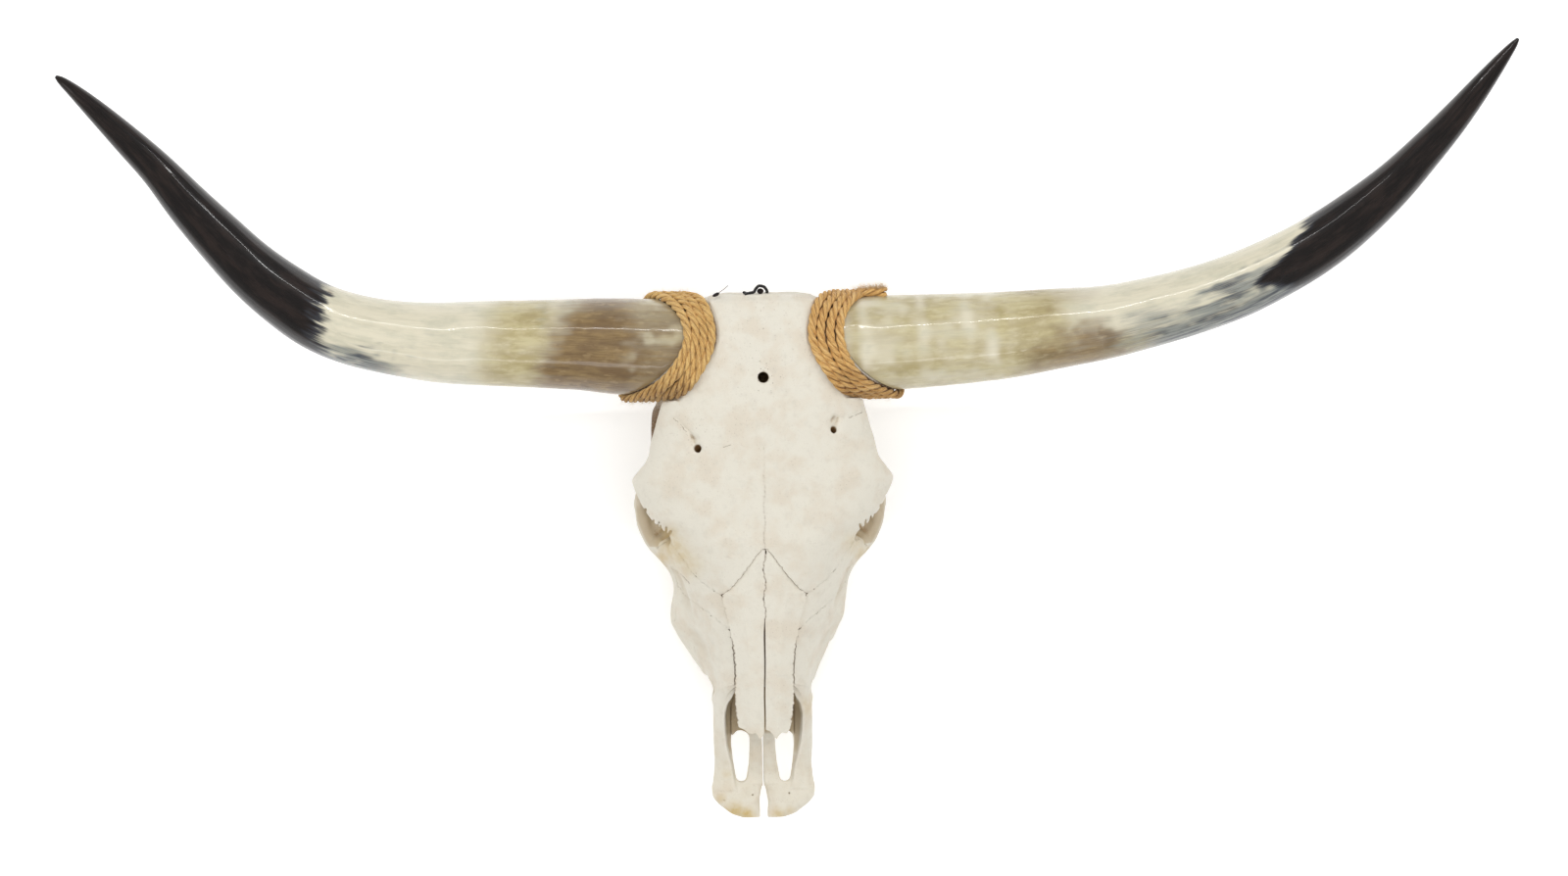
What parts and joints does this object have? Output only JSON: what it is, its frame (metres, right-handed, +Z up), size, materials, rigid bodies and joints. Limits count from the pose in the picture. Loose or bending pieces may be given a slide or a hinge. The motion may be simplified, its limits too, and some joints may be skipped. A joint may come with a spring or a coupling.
{
  "type": "longhorn steer skull",
  "caption": "Longhorn steer skull without its lower jaw, with both horn sheaths, rope wound round the horn bases and a wire hanger at the crown.",
  "frame": {"origin": "centre of the bounding box, at the level of the surface the skull lies on", "axes": "+X from the horn tip on the picture's left to the one on its right, +Y from the nose to the crown, +Z up out of the forehead"},
  "size_m": [1.3756, 0.7399, 0.2533],
  "materials": {
    "bone": "dry bleached bone, matt",
    "teeth": "stained enamel, semi-gloss",
    "horn": "polished horn",
    "rope": "rough natural fibre",
    "screw_steel": "darkened steel",
    "wire_black": "black coated wire"
  },
  "bodies": {
    "root": {"cranium": "bone", "nasal_left": "bone", "nasal_right": "bone", "premaxilla_left": "bone", "premaxilla_right": "bone", "teeth_left": "teeth", "teeth_right": "teeth", "horn_left": "horn", "horn_right": "horn", "rope_left": "rope", "rope_right": "rope", "hanger_screw": "screw_steel", "hanger_wire": "wire_black"}
  },
  "joints": []
}
